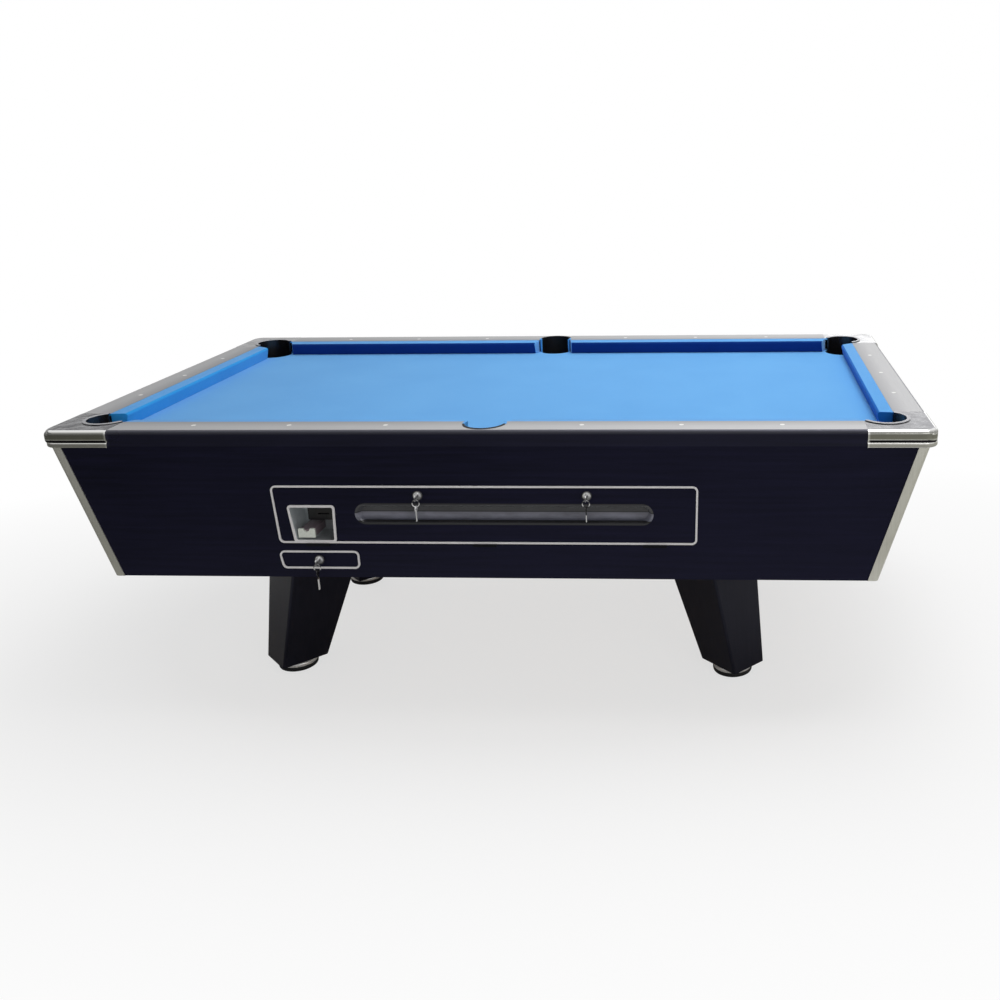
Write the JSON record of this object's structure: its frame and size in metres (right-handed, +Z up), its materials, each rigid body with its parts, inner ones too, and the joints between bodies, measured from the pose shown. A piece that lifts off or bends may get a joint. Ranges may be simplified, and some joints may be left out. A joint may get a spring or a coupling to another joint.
{
  "type": "coin-operated pool table",
  "caption": "Blue-clothed pool table with silver rail tops, chrome corners and a black cabinet holding a coin slide, a hinged ball window door, a cash drawer and a ball return.",
  "frame": {"origin": "on the floor under the middle of the table", "axes": "+X along the table towards the end away from the coin recess, -Y out of the front face with the access door, +Z up"},
  "size_m": [2.254, 1.2776, 0.825],
  "materials": {
    "black_panel": "black faced board",
    "plain_board": "plain board",
    "dark_rail": "dark grey, rounded edge",
    "silver_laminate": "brushed silver laminate",
    "slate": "ground slate",
    "cloth": "light blue baize",
    "covered_rubber": "blue cloth over rubber",
    "chrome_casting": "bright chrome",
    "black_liner": "black moulding",
    "satin_trim": "satin",
    "white_sight": "white",
    "bolt_steel": "dark plated steel",
    "black_leg": "black",
    "chrome_foot": "chrome cup on a black base",
    "pale_strip": "pale grey strip",
    "smoked_window": "smoked",
    "bright_steel": "brushed",
    "dark_head": "dark",
    "lock_chrome": "nickel plated"
  },
  "bodies": {
    "cabinet": {"front_panel": "black_panel", "rear_panel": "black_panel", "left_end_panel": "black_panel", "right_end_panel": "black_panel", "bottom_panel": "plain_board", "slate_frame": "plain_board", "ball_gullies": "plain_board", "ball_trough": "plain_board", "return_chute": "plain_board", "return_tray": "plain_board", "near_rail": "dark_rail", "far_rail": "dark_rail", "left_rail": "dark_rail", "right_rail": "dark_rail", "rail_tops": "silver_laminate", "slate_bed": "slate", "bed_cloth": "cloth", "near_left_cushion": "covered_rubber", "near_right_cushion": "covered_rubber", "far_left_cushion": "covered_rubber", "far_right_cushion": "covered_rubber", "left_cushion": "covered_rubber", "right_cushion": "covered_rubber", "near_left_casting": "chrome_casting", "near_right_casting": "chrome_casting", "far_left_casting": "chrome_casting", "far_right_casting": "chrome_casting", "near_left_liner": "black_liner", "near_right_liner": "black_liner", "far_left_liner": "black_liner", "far_right_liner": "black_liner", "near_side_liner": "black_liner", "far_side_liner": "black_liner", "corner_trims": "satin_trim", "rail_sights": "white_sight", "frame_bolts": "bolt_steel", "hinge_frame": "bolt_steel", "near_left_leg": "black_leg", "near_right_leg": "black_leg", "far_left_leg": "black_leg", "far_right_leg": "black_leg"},
    "access_door": {"door_panel": "black_panel", "door_trim": "pale_strip", "door_hinge": "bolt_steel", "ball_window": "smoked_window", "coin_recess": "bright_steel", "coin_head": "dark_head", "door_lock_cases": "lock_chrome"},
    "left_lock": {"left_lock_plug": "lock_chrome"},
    "right_lock": {"right_lock_plug": "lock_chrome"},
    "coin_slide": {"coin_slide": "bright_steel"},
    "release_gate": {"release_gate": "bolt_steel"},
    "cash_drawer": {"cash_drawer": "black_panel", "drawer_trim": "pale_strip", "drawer_lock_case": "lock_chrome"},
    "drawer_lock": {"drawer_lock_plug": "lock_chrome"},
    "near_left_foot": {"near_left_foot": "chrome_foot"},
    "near_right_foot": {"near_right_foot": "chrome_foot"},
    "far_left_foot": {"far_left_foot": "chrome_foot"},
    "far_right_foot": {"far_right_foot": "chrome_foot"}
  },
  "joints": [
    {"name": "door_swing", "type": "hinge", "parent": "cabinet", "child": "access_door", "pos_m": [0, -0.6252, 0.5171], "axis": [1, 0, 0], "range_deg": [0, 90]},
    {"name": "left_lock_turn", "type": "hinge", "parent": "access_door", "child": "left_lock", "pos_m": [-0.1675, -0.621, 0.651], "axis": [0, 1, 0], "range_deg": [0, 90]},
    {"name": "right_lock_turn", "type": "hinge", "parent": "access_door", "child": "right_lock", "pos_m": [0.2625, -0.621, 0.651], "axis": [0, 1, 0], "range_deg": [0, 90]},
    {"name": "coin_push", "type": "slide", "parent": "access_door", "child": "coin_slide", "axis": [0, 1, 0], "range_m": [0, 0.052], "stiffness_N_per_m": 100},
    {"name": "gate_open", "type": "slide", "parent": "cabinet", "child": "release_gate", "axis": [0, 1, 0], "range_m": [0, 0.052]},
    {"name": "drawer_pull", "type": "slide", "parent": "cabinet", "child": "cash_drawer", "axis": [0, -1, 0], "range_m": [0, 0.17]},
    {"name": "drawer_lock_turn", "type": "hinge", "parent": "cash_drawer", "child": "drawer_lock", "pos_m": [-0.439, -0.621, 0.475], "axis": [0, 1, 0], "range_deg": [0, 90]},
    {"name": "near_left_level", "type": "slide", "parent": "cabinet", "child": "near_left_foot", "axis": [0, 0, -1], "range_m": [0, 0.02]},
    {"name": "near_right_level", "type": "slide", "parent": "cabinet", "child": "near_right_foot", "axis": [0, 0, -1], "range_m": [0, 0.02]},
    {"name": "far_left_level", "type": "slide", "parent": "cabinet", "child": "far_left_foot", "axis": [0, 0, -1], "range_m": [0, 0.02]},
    {"name": "far_right_level", "type": "slide", "parent": "cabinet", "child": "far_right_foot", "axis": [0, 0, -1], "range_m": [0, 0.02]}
  ],
  "couplings": [
    {"joint": "gate_open", "follows": "coin_push", "ratio": 1}
  ]
}
